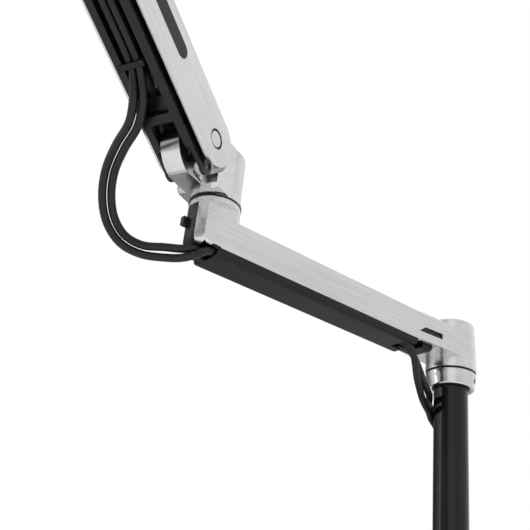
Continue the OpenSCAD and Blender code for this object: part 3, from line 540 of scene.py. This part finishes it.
def groove_shade_mesh(name, link, along, sign, steps=48):
    """The black ring's section turned round a pivot on one side of the link: painted shade for the groove.
    """
    form = bmesh.new()
    rows = []
    for k in range(steps):
        angle = 2 * math.pi * k / steps
        rows.append([form.verts.new(link @ Vector((sign * out * MM,
                                                   -along + radius * MM * math.cos(angle),
                                                   radius * MM * math.sin(angle))))
                     for radius, out in GROOVE_SHADE_SECTION])
    for row, next_row in zip(rows, rows[1:] + rows[:1]):
        for i in range(len(GROOVE_SHADE_SECTION)):
            after = (i + 1) % len(GROOVE_SHADE_SECTION)
            form.faces.new((row[i], row[after], next_row[after], next_row[i]))
    bmesh.ops.recalc_face_normals(form, faces=form.faces)
    mesh = bpy.data.meshes.new(name)
    form.to_mesh(mesh)
    form.free()
    shade(mesh)
    return mesh


def add_pivot_groove_shades():
    """Black rings in the grooves round the four pivot caps: painted shade where the grooves fall dark."""
    link = on_link(MAIN_PIVOT)
    for end, along in (("near", 0), ("far", ARM_LEN)):
        for side, sign in (("left", -1), ("right", 1)):
            name = "pivot_groove_shade_%s_%s" % (end, side)
            add_piece(name, groove_shade_mesh(name, link, along, sign), "upper_link", "black_plastic")


add_spring()
add_clamp_thread()
add_pivot_groove_shades()

# ---------------------------------------------------------------- studio

# Brightness of the studio's walls by direction, in degrees from +X towards +Y
WALLS = [(-180, 0.45), (-168, 0.92), (-145, 0.92), (-132, 0.52), (-94, 0.44), (-86, 1.0), (-58, 1.0),
         (-48, 0.76), (10, 0.86), (35, 0.86), (50, 0.97), (85, 0.97), (105, 0.65), (135, 0.20),
         (160, 0.12), (180, 0.45)]
CEILING = 0.9
WALL_TOP = (0.35, 0.95)  # sines of the heights between which the walls turn into the ceiling


def wall_ramp(nodes):
    """The walls' brightness as a ramp over one turn."""
    ramp = nodes.new("ShaderNodeValToRGB")
    colours = ramp.color_ramp
    colours.interpolation = "EASE"
    for degrees, level in WALLS[1:-1]:
        colours.elements.new((degrees + 180) / 360).color = (level, level, level, 1)
    for element, (degrees, level) in ((colours.elements[0], WALLS[0]), (colours.elements[-1], WALLS[-1])):
        element.color = (level, level, level, 1)
    return ramp


def add_world():
    """White behind the object, and bright and dark studio walls for the metal to reflect."""
    world = bpy.data.worlds.new("studio")
    world.use_nodes = True
    nodes, links = world.node_tree.nodes, world.node_tree.links
    plain = nodes["Background"]
    plain.inputs["Color"].default_value = (1, 1, 1, 1)
    place = nodes.new("ShaderNodeTexCoord")
    split = nodes.new("ShaderNodeSeparateXYZ")
    links.new(place.outputs["Generated"], split.inputs["Vector"])
    turn = nodes.new("ShaderNodeMath")
    turn.operation = "ARCTAN2"
    links.new(split.outputs["Y"], turn.inputs[0])
    links.new(split.outputs["X"], turn.inputs[1])
    ramp = wall_ramp(nodes)
    links.new(ranged(nodes, links, turn.outputs["Value"], 0, 1, -math.pi, math.pi), ramp.inputs["Fac"])
    room = nodes.new("ShaderNodeMix")
    room.data_type = "RGBA"
    room.inputs["B"].default_value = (CEILING, CEILING, CEILING, 1)
    links.new(ranged(nodes, links, split.outputs["Z"], 0, 1, *WALL_TOP), room.inputs["Factor"])
    links.new(ramp.outputs["Color"], room.inputs["A"])
    walls = nodes.new("ShaderNodeBackground")
    links.new(room.outputs["Result"], walls.inputs["Color"])
    path = nodes.new("ShaderNodeLightPath")
    mix = nodes.new("ShaderNodeMixShader")
    links.new(path.outputs["Is Camera Ray"], mix.inputs["Fac"])
    links.new(walls.outputs["Background"], mix.inputs[1])
    links.new(plain.outputs["Background"], mix.inputs[2])
    links.new(mix.outputs["Shader"], nodes["World Output"].inputs["Surface"])
    bpy.context.scene.world = world


def add_floor():
    """A plain pale floor at the height the base stands on, ending where the clamp grips its edge."""
    low, high = (-1.3, -1.8, -0.025), (1.3, 0.0395, -0.0001)
    bpy.ops.mesh.primitive_cube_add(size=1, location=[(a + b) / 2 for a, b in zip(low, high)])
    floor = bpy.context.object
    floor.name = "floor"
    floor.scale = [b - a for a, b in zip(low, high)]
    floor.data.materials.append(new_material("floor", (0.9, 0.9, 0.9), 0, 0.8)[0])


def add_light(name, place, target, size, power, mirrored=False):
    """A rectangular lamp that faces target; only a mirrored one shows in the metal."""
    data = bpy.data.lights.new(name, "AREA")
    data.shape = "RECTANGLE"
    data.size, data.size_y = size
    data.energy = power
    light = bpy.data.objects.new(name, data)
    bpy.context.scene.collection.objects.link(light)
    light.location = place
    light.rotation_euler = (Vector(target) - Vector(place)).to_track_quat("-Z", "Y").to_euler()
    light.visible_glossy = mirrored


add_world()
add_floor()
MIDDLE, COLLAR = (-0.1, -0.3, 0.45), (0, 0, 0.35)
add_light("key", (1.6, -1.4, 1.8), MIDDLE, (1.2, 1.2), 30)
add_light("fill", (-2.0, -1.2, 0.8), MIDDLE, (1.5, 1.5), 10)
add_light("strip", (-1.95, -1.22, 1.4), COLLAR, (0.10, 2.0), 4, mirrored=True)
bpy.context.scene.view_settings.view_transform = "Standard"
bpy.context.scene.view_settings.look = "None"
